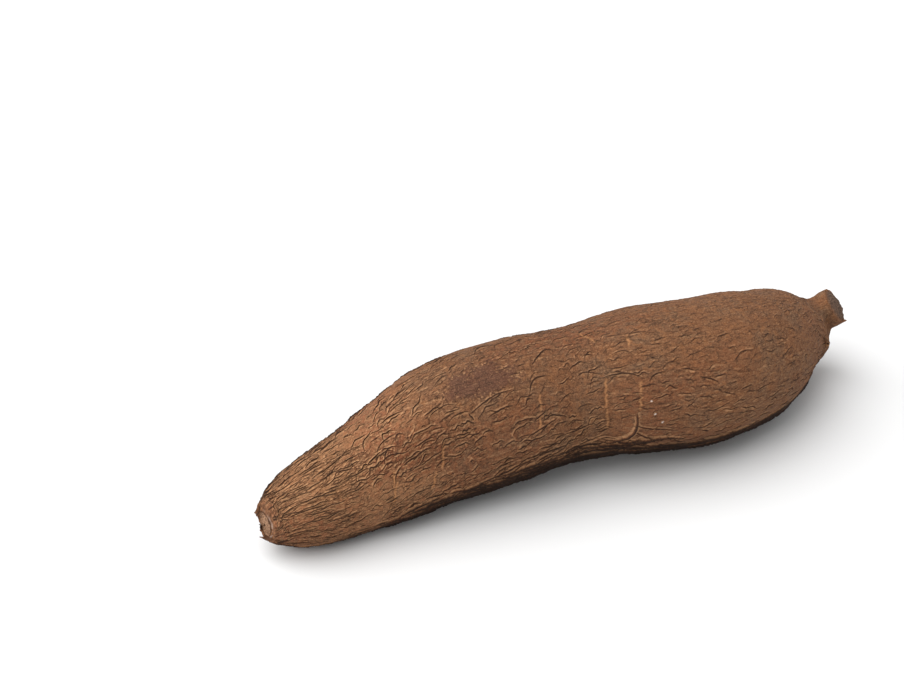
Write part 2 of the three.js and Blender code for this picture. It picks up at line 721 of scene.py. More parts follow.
    def grown(self) -> np.ndarray:
        """Places that follow the root's growth, whatever way it bends.

        Returns:
            For each point of the skin, how far round the root it is in x and y, and along it in z.
        """
        girth = self.girth[:, None]
        along = np.broadcast_to(self.along[:, None], self.radius.shape)
        return np.stack([girth * np.cos(self.turn), girth * np.sin(self.turn), along], -1)

    def column(self, turn: float) -> int:
        """The side that lies this far round the root, in degrees from its front."""
        return round((math.radians(turn) / math.tau + 0.25) * self.sides) % self.sides

    def ring_at(self, x: float, turn: float = 0.0) -> float:
        """How far along the root its skin passes this x.

        Args:
            x: the place across the root's box.
            turn: how far round the root, in degrees from its front.

        Returns:
            The distance from the tip.
        """
        angle = math.radians(turn)
        out = self.side[:, 0] * math.cos(angle) + self.rise[:, 0] * math.sin(angle)
        across = self.middle[:, 0] + out * self.radius[:, self.column(turn)]
        return float(np.interp(x, np.maximum.accumulate(across), self.along))


class Mark(Enum):
    """What a line in the bark is."""

    SPLIT = "a dark split with a lifted flake along it"
    STREAK = "a fine shallow line"
    SCAR = "a pale raised line round the root"
    FOLD = "a deep smooth crease"


@dataclass(frozen=True)
class Stroke:
    """One line in the bark. Millimetres, and degrees round the root from its front."""

    mark: Mark
    along: float
    turn: float
    length: float
    lean: float = 0.0
    bow: float = 0.0
    pivot: float = 0.4
    wave: float = 0.0
    ripples: float = 1.5
    phase: float = 0.0
    depth: float = 0.3
    width: float = 0.32
    lift: float = 0.3
    reach: float = 2.0
    side: int = 1


@dataclass(frozen=True)
class Zone:
    """A stretch of bark that is split in one manner. Millimetres and degrees.

    split_area and streak_area are how much bark there is to each split and each fine line.
    """

    start: float
    end: float
    split_area: float
    split_length: Place
    climb: float
    lean: float
    bow: float
    wave: float
    depth: float
    width: float
    lift: float
    reach: float
    streak_area: float
    streak_length: Place


ZONES = (
    Zone(
        start=0, end=42, split_area=16, split_length=(5, 18), climb=0, lean=5, bow=-0.2, wave=0.2,
        depth=0.6, width=0.26, lift=0.5, reach=0.9, streak_area=3.2, streak_length=(2, 7),
    ),
    Zone(
        start=30, end=98, split_area=22, split_length=(5, 17), climb=7, lean=10, bow=-1.0, wave=0.4,
        depth=0.75, width=0.28, lift=0.65, reach=1.0, streak_area=4.2, streak_length=(1.5, 6),
    ),
    Zone(
        start=92, end=160, split_area=26, split_length=(4, 17), climb=14, lean=12, bow=-1.3, wave=0.4,
        depth=0.68, width=0.28, lift=0.46, reach=1.1, streak_area=4.5, streak_length=(1.5, 5),
    ),
    Zone(
        start=156, end=232, split_area=27, split_length=(3, 13), climb=6, lean=14, bow=-1.0, wave=0.4,
        depth=0.46, width=0.26, lift=0.26, reach=1.0, streak_area=4.2, streak_length=(1, 4),
    ),
    Zone(
        start=226, end=314, split_area=19, split_length=(2.5, 12), climb=0, lean=11, bow=-0.6, wave=0.3,
        depth=0.4, width=0.25, lift=0.22, reach=0.9, streak_area=3.8, streak_length=(1, 4),
    ),
)


@dataclass
class Relief:
    """The bark's relief and its marks, worked out on the skin as if unrolled. Millimetres."""

    skin: Skin
    seed: int = 41
    jag: float = 0.2
    # How many random places are tried for each split, of which the emptiest is taken.
    tries: int = 7
    # The smoothest stretch: its middle along the root, its reach, and how far round it is, in radians.
    calm_along: float = 58.0
    calm_reach: float = 34.0
    calm_turn: float = 0.3
    groove: np.ndarray = field(init=False)
    lift: np.ndarray = field(init=False)
    crack: np.ndarray = field(init=False)
    scar: np.ndarray = field(init=False)
    bare: np.ndarray = field(init=False)
    speck: np.ndarray = field(init=False)
    swelling: np.ndarray = field(init=False)
    plate: np.ndarray = field(init=False)
    height: np.ndarray = field(init=False)
    worn: np.ndarray = field(init=False)

    def __post_init__(self) -> None:
        """Start with smooth bark."""
        for sheet in fields(self):
            if not sheet.init:
                setattr(self, sheet.name, np.zeros(self.skin.radius.shape))
        self.rng = np.random.default_rng(self.seed)
        self.step = self.skin.length / (self.skin.rings - 1)
        self.busy = np.zeros((int(self.skin.length) + 2, 180))

    def _window(self, along: float, turn: float, reach: float, across: float) -> tuple:
        """The part of the bark round one place.

        Args:
            along: how far along the root the place is.
            turn: how far round it.
            reach: how far the part reaches along the root, each way.
            across: how far it reaches round it, each way.

        Returns:
            The rings and sides in the part, and how far each is along and round from the place.
        """
        skin = self.skin
        middle = int(round(along / self.step))
        rings_off = int(reach / self.step)
        rows = np.arange(max(middle - rings_off, 0), min(middle + rings_off + 1, skin.rings))
        girth = max(float(skin.girth[min(max(middle, 0), skin.rings - 1)]), 3.0)
        half = min(int(across / girth / (2 * math.pi) * skin.sides) + 2, skin.sides // 2 - 1)
        angle = (math.radians(turn) + math.pi / 2) % (2 * math.pi)
        centre = angle / (2 * math.pi) * skin.sides
        offsets = np.arange(-half, half + 1)
        columns = (int(round(centre)) + offsets) % skin.sides
        away = (offsets + round(centre) - centre) * 2 * math.pi / skin.sides
        round_it = away[None, :] * skin.girth[rows][:, None]
        ahead = np.broadcast_to((skin.along[rows] - along)[:, None], round_it.shape)
        return np.ix_(rows, columns), ahead, round_it

    def draw(self, k: Stroke) -> None:
        """Cut one line into the bark.

        Args:
            k: the line.
        """
        half = k.length / 2
        lean = math.radians(k.lean)
        margin = 2.5 * k.reach + abs(k.bow) * max(1 - k.pivot, k.pivot) + abs(k.wave) + 0.6
        on_it, over_it = abs(math.cos(lean)), abs(math.sin(lean))
        reach = half * on_it + margin * over_it + 0.5
        spot, ahead, round_it = self._window(k.along, k.turn, reach, half * over_it + margin * on_it)
        if not ahead.size:
            return
        on = ahead * math.cos(lean) + round_it * math.sin(lean)
        off = round_it * math.cos(lean) - ahead * math.sin(lean)
        share = on / half
        path = k.bow * (share * share - k.pivot)
        path = path + k.wave * np.sin(math.pi * k.ripples * share + k.phase)
        jags = np.stack([on / 1.6 + 7 * k.phase, np.full_like(on, k.phase), np.zeros_like(on)], -1)
        path = path + self.jag * grain(jags, 11)
        away = (off - path) * k.side
        taper = np.clip(1 - share * share, 0, 1) ** 0.6
        width = k.width * (0.4 + 0.6 * taper)
        line = taper * np.exp(-((away / width) ** 2))
        if k.mark is Mark.SCAR:
            self.scar[spot] = np.maximum(self.scar[spot], line)
            return
        self.groove[spot] = np.maximum(self.groove[spot], k.depth * line)
        if k.mark is Mark.FOLD:
            self.crack[spot] = np.maximum(self.crack[spot], 0.85 * line**2)
            return
        self.crack[spot] = np.maximum(self.crack[spot], line**1.2 * min(1.0, k.depth / 0.5))
        ahead_of = np.clip(away, 0, None)
        flake = 0.5 * np.exp(-ahead_of / k.reach) + 0.5 * np.exp(-ahead_of / 0.42)
        flake = taper * k.lift * flake * (away > 0)
        behind = 0.25 * k.lift * taper * np.exp(-(((away + 1.7 * width) / width) ** 2))
        self.lift[spot] = np.maximum(self.lift[spot], flake + behind * (away <= 0))

    def _crowding(self, along: np.ndarray, turn: np.ndarray) -> tuple:
        """Where a line's points fall in the tally of how full the bark is."""
        rows = np.clip(along.astype(int), 0, len(self.busy) - 1)
        return rows, (turn / 2).astype(int) % 180

    def _girth(self, along: float) -> float:
        """The root's mean radius this far along it."""
        return float(np.interp(along, self.skin.along, self.skin.girth))

    def _count(self, zone: Zone, area: float) -> int:
        """How many lines fill a zone when there is this much bark to each."""
        girth = self._girth((zone.start + zone.end) / 2)
        return int((zone.end - zone.start) * 2 * math.pi * girth / area)

    def _place(self, zone: Zone, length: float, lean: float) -> Place:
        """Find room for a line, which then counts as full.

        Args:
            zone: the stretch of bark that it is for.
            length: the line's length.
            lean: how steeply it climbs.

        Returns:
            How far along and round the root the emptiest of a few random places is.
        """
        best, least = (0.0, 0.0), math.inf
        share = np.linspace(-0.5, 0.5, max(int(length), 3))
        for _ in range(self.tries):
            along = self.rng.uniform(zone.start, zone.end)
            turn = self.rng.uniform(0, 360)
            girth = self._girth(along)
            rows = along + share * length * math.cos(math.radians(lean))
            turns = turn + np.degrees(share * length * math.sin(math.radians(lean)) / girth)
            crowd = float(self.busy[self._crowding(rows, turns)].mean())
            if crowd < least:
                best, least, taken = (along, turn), crowd, (rows, turns, girth)
        rows, turns, girth = taken
        for off, weight in ((0, 1.0), (1.0, 0.7), (-1.0, 0.7), (2.0, 0.35), (-2.0, 0.35)):
            self.busy[self._crowding(rows, turns + math.degrees(off / girth))] += weight
        return best

    def _quiet(self, along: float, turn: float) -> float:
        """How smooth the bark is at a place.

        Args:
            along: how far along the root it is.
            turn: how far round it.

        Returns:
            1 on a wide unbroken plate and 0 where the bark is worst split.
        """
        girth = self._girth(along)
        angle = math.radians(turn)
        place = np.array([girth * math.cos(angle), girth * math.sin(angle), along])
        wide = grain(place / (13, 13, 20), 90) + 0.5 * grain(place / (6, 6, 10), 91)
        ahead = (along - self.calm_along) / self.calm_reach
        face = math.hypot(ahead, math.sin((angle - self.calm_turn) / 2) * 4)
        return float(smoothstep(wide + max(0.0, 0.6 - 0.6 * face), -0.1, 0.5))

    def _harshness(self, along: float, turn: float) -> float:
        """How deep the splits are at a place: deepest on top of the tip's half.

        Args:
            along: how far along the root it is.
            turn: how far round it.

        Returns:
            What a split's depth is multiplied by.
        """
        towards_tip = float(smoothstep(np.array([along]), 115, 60)[0])
        top = math.cos(math.radians(turn - 95))
        return 1 + towards_tip * 0.35 * top - (1 - towards_tip) * 0.35 * max(top, 0.0)

    def split_bark(self, zone: Zone) -> int:
        """Scatter a zone's splits over it, well spread.

        Args:
            zone: the stretch of bark.

        Returns:
            How many there are.
        """
        rng = self.rng
        count = self._count(zone, zone.split_area)
        for _ in range(count):
            size = rng.beta(1.3, 2.2)
            length = zone.split_length[0] + size * (zone.split_length[1] - zone.split_length[0])
            lean = rng.normal(zone.climb, zone.lean)
            along, turn = self._place(zone, length, lean)
            quiet = self._quiet(along, turn)
            if rng.random() < 0.6 * quiet:
                continue
            strength = rng.uniform(0.4, 1.2) * self._harshness(along, turn) * (1.1 - 0.2 * quiet)
            low = 1 + 0.35 * max(0.0, math.cos(math.radians(turn + 50)))
            stroke = Stroke(
                Mark.SPLIT, along, turn, length, lean,
                bow=rng.normal(zone.bow, 0.9 * abs(zone.bow) + 0.2) * min(1.0, length / 11),
                wave=rng.uniform(0.3, 1.2) * zone.wave * min(1.0, length / 7),
                ripples=rng.uniform(0.8, 2.4), phase=rng.uniform(0, 6.28),
                depth=zone.depth * strength * low, width=zone.width * rng.uniform(0.75, 1.25),
                lift=zone.lift * strength * rng.uniform(0.5, 1.2) * low,
                reach=zone.reach * rng.uniform(0.6, 1.3), side=int(rng.choice((-1, 1))),
            )
            self.draw(stroke)
        return count

    def streak_bark(self, zone: Zone) -> int:
        """Scatter a zone's fine lines over it.

        Args:
            zone: the stretch of bark.

        Returns:
            How many there are.
        """
        rng = self.rng
        count = self._count(zone, zone.streak_area)
        for _ in range(count):
            along, turn = rng.uniform(zone.start, zone.end), rng.uniform(0, 360)
            if rng.random() < 0.8 * self._quiet(along, turn):
                continue
            strength = 1.9 - 0.9 * float(smoothstep(np.array([along]), 50, 130)[0])
            stroke = Stroke(
                Mark.STREAK, along, turn, rng.uniform(*zone.streak_length),
                rng.normal(zone.climb, zone.lean * 1.2), bow=rng.normal(0, 0.4), wave=rng.uniform(0, 0.3),
                ripples=rng.uniform(0.8, 2.0), phase=rng.uniform(0, 6.28),
                depth=rng.uniform(0.08, 0.2) * strength, width=rng.uniform(0.16, 0.27),
                lift=rng.uniform(0.02, 0.08) * strength, reach=0.5, side=int(rng.choice((-1, 1))),
            )
            self.draw(stroke)
        return count

    def wrinkle(self, start: float, end: float, turns: Place, count: int) -> None:
        """Press long creases into a stretch of the underside's edge.

        Args:
            start: where the stretch begins, along the root.
            end: where it stops.
            turns: how far round the root it reaches, from and to.
            count: how many creases there are.
        """
        rng = self.rng
        for _ in range(count):
            stroke = Stroke(
                Mark.SPLIT, rng.uniform(start, end), rng.uniform(*turns), rng.uniform(14, 38),
                rng.normal(0, 4), bow=rng.normal(0, 0.8), wave=rng.uniform(0.1, 0.6),
                ripples=rng.uniform(1, 3), phase=rng.uniform(0, 6.28), depth=rng.uniform(0.8, 2.0),
                width=rng.uniform(0.4, 0.85), lift=rng.uniform(0.3, 0.9), reach=rng.uniform(0.9, 1.6),
                side=int(rng.choice((-1, 1))),
            )
            self.draw(stroke)

    def trace(self, mark: Mark, start: Place, end: Place, **sizes: float) -> None:
        """Cut one line from place to place.

        Args:
            mark: what it is.
            start: the x and the turn where it starts.
            end: the x and the turn where it ends.
            **sizes: the rest of the stroke's sizes.
        """
        first = self.skin.ring_at(*start)
        last = self.skin.ring_at(*end)
        middle = (first + last) / 2
        girth = self._girth(middle)
        climb = math.radians(end[1] - start[1]) * girth
        length = math.hypot(last - first, climb)
        lean = math.degrees(math.atan2(climb, last - first))
        turn = (start[1] + end[1]) / 2
        self.draw(Stroke(mark, middle, turn, length * 1.1, lean, pivot=0.85, **sizes))

    def swell(self, x: float, turn: float, half_length: float, half_width: float, height: float) -> None:
        """Raise a soft knob.

        Args:
            x: where its middle is.
            turn: how far round the root that is.
            half_length: from its middle to its end.
            half_width: from its middle to its side.
            height: how far it stands up.
        """
        along = self.skin.ring_at(x, turn)
        spot, ahead, round_it = self._window(along, turn, half_length * 1.3, half_width * 1.3)
        share = np.hypot(ahead / half_length, round_it / half_width)
        self.swelling[spot] += height * smoothstep(share, 1.15, 0.45)

    def fleck(self, x: float, turn: float, size: float) -> None:
        """Leave a pale speck on the bark.

        Args:
            x: where it is.
            turn: how far round the root that is.
            size: how wide it is.
        """
        spot, ahead, round_it = self._window(self.skin.ring_at(x, turn), turn, 2 * size, 2 * size)
        away = np.hypot(ahead, round_it) + 0.25 * size * grain(self.skin.grown()[spot] * 3, 12)
        self.speck[spot] = np.maximum(self.speck[spot], smoothstep(away, 0.6 * size, 0.3 * size))

    def smooth_patch(self, x: float, turn: float, half_length: float, half_width: float) -> None:
        """Bare a patch where the outer bark has come off.

        Args:
            x: where its middle is.
            turn: how far round the root that is.
            half_length: from its middle to its end.
            half_width: from its middle to its side.
        """
        along = self.skin.ring_at(x, turn)
        spot, ahead, round_it = self._window(along, turn, half_length * 1.5, half_width * 1.6)
        grown = self.skin.grown()[spot]
        ragged = grain(grown * 0.22, 7) * 0.35 + grain(grown * 0.7, 8) * 0.15
        share = np.hypot(ahead / half_length, round_it / half_width) + ragged
        share = share + 0.3 * grain(grown * 1.6, 9)
        self.bare[spot] = np.maximum(self.bare[spot], smoothstep(share, 1.3, 0.5))

    def settle(self) -> None:
        """Add the marks up into one height, the outer bark lying proud of the bare patches."""
        skin = self.skin
        grown = skin.grown()
        spacing = float(np.median(skin.girth[:, None] * 2 * math.pi / skin.sides))
        away = np.minimum(skin.along, skin.length - skin.along)[:, None]
        lumps = 0.42 * grain(grown / (17, 17, 26), 1) + 0.22 * grain(grown / (7, 7, 11), 2)
        furrows = 0.16 * grain(grown / (2.9, 2.9, 15), 3) + 0.07 * grain(grown / (1.5, 1.5, 5), 6)
        furrows = furrows * (1 - 0.45 * smoothstep(skin.along, 120, 190)[:, None])
        fibres = 0.05 * grain(grown / (0.9, 0.9, 4), 4) + 0.09 * grain(grown / (0.75, 0.75, 1.1), 5)
        chunky = (0.34 - 0.24 * smoothstep(skin.along, 60, 190))[:, None]
        self.plate = plates(grown / (4.6, 4.6, 12), 61)
        chunks = chunky * self.plate + 0.5 * chunky * plates(grown / (2.3, 2.3, 5), 71)
        pillow = -0.25 * blur(self.groove, 0.9 / self.step, 0.9 / spacing)
        off_stalk = 0.3 + 0.7 * smoothstep(skin.length - skin.along, 4, 20)
        still = (1 - 0.88 * self.bare) * off_stalk[:, None]
        rough = (self.lift - self.groove + pillow + furrows + blur(chunks, 0.6, 0.6)) * still
        rough = rough + fibres * (1 - 0.4 * self.bare)
        rough = rough + 0.22 * self.scar - 0.25 * self.bare
        rough = blur(rough, 0.4, 0.4) * (0.5 + 0.5 * smoothstep(away, 0, 5))
        self.crack = self.crack * still
        self.height = (lumps * smoothstep(away, 0, 15) + self.swelling) + rough
        # how far each point stands above or below its surroundings, on which the finish lays painted
        # highlight on what stands out and painted shade in what sinks
        worn = self.height - blur(self.height, 0.6 / self.step, 0.6 / spacing)
        self.worn = np.clip(worn / 0.17, -1, 1)


# Each scar's two ends, as x and turn, and its strength.
SCARS = (
    ((1, 42), (-0.6, 28), 1.0),
    ((-0.4, 29), (-1.3, 16), 1.0),
    ((-1.2, 17), (-0.6, -5), 0.8),
    ((14.3, 34), (13.4, 23), 0.9),
    ((13.4, 22), (12.4, 8), 0.4),
    ((16.5, 75), (15.2, 64), 0.6),
    ((-0.5, 91), (3.8, 75), 0.6),
    ((-29.3, 42), (-30.5, 27), 0.6),
    ((-30.5, 25), (-32.6, 11), 0.4),
    ((-79.7, 8), (-81.8, -10), 0.5),
    ((-97, 20), (-101, -12), 0.4),
    ((-98, 30), (-99, 12), 0.6),
    ((-75, 30), (-77, 6), 0.7),
)
# Each single split's two ends, as x and turn, its bow and its depth.
CRACKS = (
    ((0, 42), (15.5, 36), -2.6, 0.6),
    ((-72.5, 88), (-62.4, 86), 0.2, 0.5),
    ((-61.2, 42), (-40.5, 51), -1.6, 0.6),
    ((-61.5, 44), (-60, 37), 0.4, 0.6),
    ((-53.6, 35), (-41.3, 38), -1.0, 0.5),
    ((-64.6, 3), (-63, 4), 0.0, 0.9),
    ((-42.7, 0), (-39, 2), 0.0, 0.9),
    ((1.5, 24), (12, 22), -0.6, 0.3),
    ((11, -6), (29, -15), 0.8, 0.7),
    ((11, -12), (25, -28), 1.0, 0.9),
    ((-23, 1), (-4, 4), 0.8, 0.5),
    ((-42, -14), (-15, -12), -0.8, 0.8),
    ((-12, -17), (2, -28), 0.5, 0.9),
    ((-26, -22), (-2, -13), 1.2, 0.7),
    ((-30, -30), (2, -24), 1.0, 0.9),
    ((-52, -32), (-18, -12), 1.6, 0.8),
    ((-40, -33), (-8, -28), 0.8, 0.8),
    ((-60, -28), (-30, -14), -0.8, 0.7),
    ((-75, -30), (-45, -20), 0.8, 0.7),
)
# The x and turn of each soft swelling's middle, its half length, half width and height.
SWELLINGS = (
    (7, 20, 9, 15, 1.1),
    (-10, -8, 15, 17, 1.1),
    (2, -10, 8, 9, 0.7),
    (133, -12, 9, 9, 1.8),
    (22, 0, 12, 18, 0.5),
    (48.5, 32, 5, 5, 0.55),
    (49.5, -4, 5, 5, 0.55),
    (34.6, 17, 7, 7, 0.4),
    (74, 20, 7, 7, 0.4),
    (92, 48, 8, 8, 0.4),
)
# Where long creases lie: from and to along the root, from and to round it, and how many.
CREASED = (
    (55, 150, (-66, -26), 80),
    (95, 180, (-66, -20), 70),
    (165, 270, (-66, -30), 60),
    (20, 280, (180, 290), 120),
)
# The x, the turn and the width of each pale speck.
SPECKS = ((17.5, 16, 0.8), (19, 4, 0.9), (22.5, -5, 1.1))


@dataclass(frozen=True)
class RaggedEnd:
    """One bare end of the root, a dished face inside a ragged edge of bark. Millimetres.

    Each shred has its place round the end, how far it stands out, and its width in degrees.
    """

    rows: int
    lip: float
    core: float
    dome: float
    step: float
    bumps: float
    seed: int
    shreds: tuple[Triple, ...]

    def edge(self, turn: np.ndarray) -> np.ndarray:
        """How far the bark's ragged edge stands out past the face.

        Args:
            turn: the angles of the sides.

        Returns:
            How far it stands out at each of them.
        """
        ring = np.stack([np.cos(turn) * 2.2, np.sin(turn) * 2.2, np.zeros_like(turn)], -1)
        fine = np.stack([np.cos(turn) * 5, np.sin(turn) * 5, np.zeros_like(turn)], -1)
        wander = grain(ring + 5.3, self.seed) + 0.4 * grain(fine + 9.1, self.seed + 1)
        edge = np.clip(self.lip * (1 + wander), 0, None)
        for place, height, width in self.shreds:
            away = np.degrees(wrapped(turn - math.radians(place))) / width
            edge = edge + height * np.exp(-np.abs(away) ** 2.5) * (1 + 0.35 * grain(fine, self.seed + 5))
        return edge

    def face(self, rim: np.ndarray, out: np.ndarray, turn: np.ndarray) -> tuple:
        """The rings from just inside the bark's edge to near the middle.

        Args:
            rim: the bark's last ring.
            out: the way the end faces.
            turn: the angles of the sides.

        Returns:
            The rings' points, outermost first, and how far out each point counts as, 1 at the rim.
        """
        edge = self.edge(turn)
        flat = rim - out * edge[:, None]
        middle = flat.mean(0)
        shares = np.linspace(1, 0, self.rows + 1)[1:-1, None]
        place = middle + (flat - middle) * shares[..., None]
        counts = shares + 0.12 * grain(place / 2.4, self.seed + 4) * (1 - shares)
        stand = edge * smoothstep(shares, 0.8, 1.0) + self.dome * (1 - counts**2.2)
        inside = smoothstep(counts, self.core, self.core - 0.08)
        stand = stand - self.step * inside
        rough = grain(place / 1.3, self.seed + 2) + 0.6 * grain(place / 0.6, self.seed + 3)
        stand = stand + self.bumps * rough * smoothstep(shares, 1.0, 0.85)
        return place + out * stand[..., None], counts


TIP = RaggedEnd(
    rows=30, lip=0.35, core=0.6, dome=1.6, step=0.9, bumps=0.3, seed=31,
    shreds=((114, 1.8, 20), (150, 0.7, 12), (-118, 0.8, 12), (-95, 1.4, 16), (-66, 1.0, 12)),
)
STALK = RaggedEnd(
    rows=34, lip=0.3, core=0.97, dome=3.0, step=0.0, bumps=0.45, seed=57,
    shreds=((-72, 1.6, 13), (-44, 0.6, 9), (112, 0.8, 10), (150, 0.6, 12)),
)


@dataclass(frozen=True)
class CassavaRoot:
    """The whole root as one closed skin, with its bark worked into it."""

    solid_name: str = "cassava_root"
    finish: BarkFinish = field(default_factory=BarkFinish)
    tip: RaggedEnd = TIP
    stalk: RaggedEnd = STALK
    # The reddish patch, which is also darkened as painted shade: its middle along the root, its half
    # length, and how far round it is.
    blot_along: float = 72.0
    blot_half_length: float = 20.0
    blot_turn: float = 35.0

    def landmarks(self, relief: Relief) -> None:
        """Cut the lines and patches that mark this root out from others.

        Args:
            relief: the bark.
        """
        relief.smooth_patch(-51, 66, 17, 9)
        for swelling in SWELLINGS:
            relief.swell(*swelling)
        for speck in SPECKS:
            relief.fleck(*speck)
        for start, end, strength in SCARS:
            width = 0.34 + 0.2 * strength
            for offset in (0.0, 0.5):
                wave, ripples = 0.12 + 0.4 * offset, 1.6 + offset
                relief.trace(Mark.SCAR, start, end, depth=strength, wave=wave, ripples=ripples, width=width)
        for start, end, bow, depth in CRACKS:
            sizes = {"wave": 0.15, "width": 0.3, "lift": 0.7 * depth, "reach": 1.4}
            relief.trace(Mark.SPLIT, start, end, bow=bow, depth=depth, **sizes)
        relief.trace(Mark.FOLD, (11.2, 4), (-3.5, -17), bow=-8.5, depth=1.2, width=0.85)

    def build(self) -> bpy.types.Object:
        """Lay the skin, work the bark and make the mesh.

        Returns:
            The root.
        """
        skin = Skin(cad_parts[self.solid_name]).lay()
        log.info("skin laid: %.0f mm along, %.1f mm mean radius", skin.length, skin.girth.mean())
        relief = Relief(skin)
        for zone in ZONES:
            log.info("bark from %g to %g mm: %d splits", zone.start, zone.end, relief.split_bark(zone))
        for zone in ZONES:
            log.info("bark from %g to %g mm: %d streaks", zone.start, zone.end, relief.streak_bark(zone))
        for stretch in CREASED:
            relief.wrinkle(*stretch)
        self.landmarks(relief)
        relief.settle()
        places = skin.places()
        places = places + skin.facing(places) * relief.height[..., None]
        places = self._flare(skin, places)
        tip_rings, tip_shares = self.tip.face(places[0], -skin.ahead[0], skin.turn)
        stalk_rings, stalk_shares = self.stalk.face(places[-1], skin.ahead[-1], skin.turn)
        sheet = np.concatenate([tip_rings[::-1], places, stalk_rings])
        sheet[..., 2] = np.clip(sheet[..., 2], 0, None)
        piece = self._mesh(sheet)
        self._write(piece.data, skin, relief, (tip_shares[::-1], stalk_shares))
        bark = self.finish.material()
        piece.data.materials.append(bark)
        for flake in FLAKES:
            log.info("%s: %d faces", flake.name, len(flake.build(skin, bark).data.polygons))
        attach(piece, "root")
        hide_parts(self.solid_name)
        return piece

    def _flare(self, skin: Skin, places: np.ndarray) -> np.ndarray:
        """Draw the bark's last rings out into the ragged edges round both faces.

        Args:
            skin: the root's smooth skin.
            places: the points of its bark.

        Returns:
            The points, drawn out.
        """
        tip = self.tip.edge(skin.turn)[None, :] * np.exp(-skin.along / 1.3)[:, None]
        stalk = self.stalk.edge(skin.turn)[None, :] * np.exp(-(skin.length - skin.along) / 0.9)[:, None]
        places = places - skin.ahead[0] * tip[..., None]
        return places + skin.ahead[-1] * stalk[..., None]

    @staticmethod
    def _mesh(sheet: np.ndarray) -> bpy.types.Object:
        """Join the rings into a closed mesh with a map of its own.

        Args:
            sheet: the points, ring by ring, in millimetres.

        Returns:
            The new piece.
        """
        rings, sides = sheet.shape[:2]
        ends = np.array([sheet[0].mean(0), sheet[-1].mean(0)])
        points = np.concatenate([sheet.reshape(-1, 3), ends]) * MM
        rows, columns = np.meshgrid(np.arange(rings - 1), np.arange(sides), indexing="ij")
        here = (rows * sides + columns).ravel()
        beside = (rows * sides + (columns + 1) % sides).ravel()
        quads = np.stack([here, beside, beside + sides, here + sides], 1)
        side = np.arange(sides)
        after = (side + 1) % sides
        last = (rings - 1) * sides
        low_fan = np.stack([after, side, np.full(sides, rings * sides)], 1)
        high_fan = np.stack([last + side, last + after, np.full(sides, rings * sides + 1)], 1)
        corners = np.concatenate([quads.ravel(), low_fan.ravel(), high_fan.ravel()])
        starts = np.concatenate(
            [np.arange(len(quads)) * 4, len(quads) * 4 + np.arange(2 * sides) * 3]
        )
        mesh = bpy.data.meshes.new("cassava_bark")
        mesh.vertices.add(len(points))
        mesh.vertices.foreach_set("co", points.ravel().astype(np.float32))
        mesh.loops.add(len(corners))
        mesh.loops.foreach_set("vertex_index", corners.astype(np.int32))
        mesh.polygons.add(len(starts))
        mesh.polygons.foreach_set("loop_start", starts.astype(np.int32))
        mesh.update(calc_edges=True)
        mesh.polygons.foreach_set("use_smooth", np.ones(len(starts), bool))
        layer = mesh.uv_layers.new(name="OFBake")
        u = (rows.ravel()[:, None] + np.array([0, 0, 1, 1]) + 1) / (rings + 1)
        v = (columns.ravel()[:, None] + np.array([0, 1, 1, 0])) / sides
        fan_v = np.stack([side + 1, side, side + 0.5], 1) / sides
        low_u = np.tile([1.0, 1.0, 0.0], (sides, 1)) / (rings + 1)
        high_v = np.stack([side, side + 1, side + 0.5], 1) / sides
        high_u = 1 - np.tile([1.0, 1.0, 0.0], (sides, 1)) / (rings + 1)
        us = np.concatenate([u.ravel(), low_u.ravel(), high_u.ravel()])
        vs = np.concatenate([v.ravel(), fan_v.ravel(), high_v.ravel()])
        layer.data.foreach_set("uv", np.stack([us, vs], 1).ravel().astype(np.float32))
        return link("cassava_bark", mesh)

    def _bark_sheets(self, skin: Skin, relief: Relief) -> dict[str, np.ndarray]:
        """What the finish reads on the bark.

        Args:
            skin: the root's smooth skin.
            relief: its bark.

        Returns:
            Three values for each point, by name.
        """
        grown = skin.grown()
        along = skin.along[:, None]
        from_stalk = skin.length - along
        torn = smoothstep(self.tip.edge(skin.turn), 0.7, 1.8)[None, :] * np.exp(-along / 1.6)
        round_it = wrapped(skin.turn - math.radians(self.blot_turn))[None, :] * 1.9
        red_shaded_patch = np.hypot((along - self.blot_along) / self.blot_half_length, round_it)
        red_shaded_patch = smoothstep(red_shaded_patch + 0.5 * grain(grown / (9, 9, 12), 27), 1.1, 0.4)
        blush = np.clip(0.55 * smoothstep(along, 120, 20) + 0.9 * grain(grown / (14, 14, 30), 21), 0, 1)
        blush = np.maximum(blush * smoothstep(from_stalk, 6, 20), 0.8 * red_shaded_patch)
        blush = np.maximum(blush, 0.6 * smoothstep(along, 16, 2))
        grey = np.clip(0.6 + 0.6 * grain(grown / (20, 20, 34), 22) + 0.5 * relief.plate, 0, 1)
        low = -np.sin(skin.turn)[None, :] + 0.08 * grain(grown / (5, 5, 16), 24)
        # painted shade on the underside, fading out near both ends
        underside_shade = smoothstep(low, 0.36, 0.78) * smoothstep(np.minimum(along, from_stalk), 8, 40)
        # painted highlight on the top of the root near the tip
        pale = smoothstep(along, 95, 45) * smoothstep(-low, -0.6, 0.9)
        # painted shade in the middle of the root, and painted light towards the tip where this falls below
        # nought
        dull = smoothstep(along, 60, 110) * smoothstep(along, 225, 160) - smoothstep(along, 105, 60)
        none = np.zeros_like(red_shaded_patch)
        return {
            "marks": np.stack([np.maximum(relief.crack, 0.75 * torn), relief.worn, relief.scar], -1),
            "tone": np.stack([relief.bare, blush, grey], -1),
            # painted light: shade on the underside, light on top near the tip, and shade in the middle and
            # on the red patch
            "painted_light": np.stack([underside_shade, pale, dull + 1.9 * red_shaded_patch], -1),
            "ends": np.stack([none, none, relief.speck], -1),
            "grown": grown,
        }

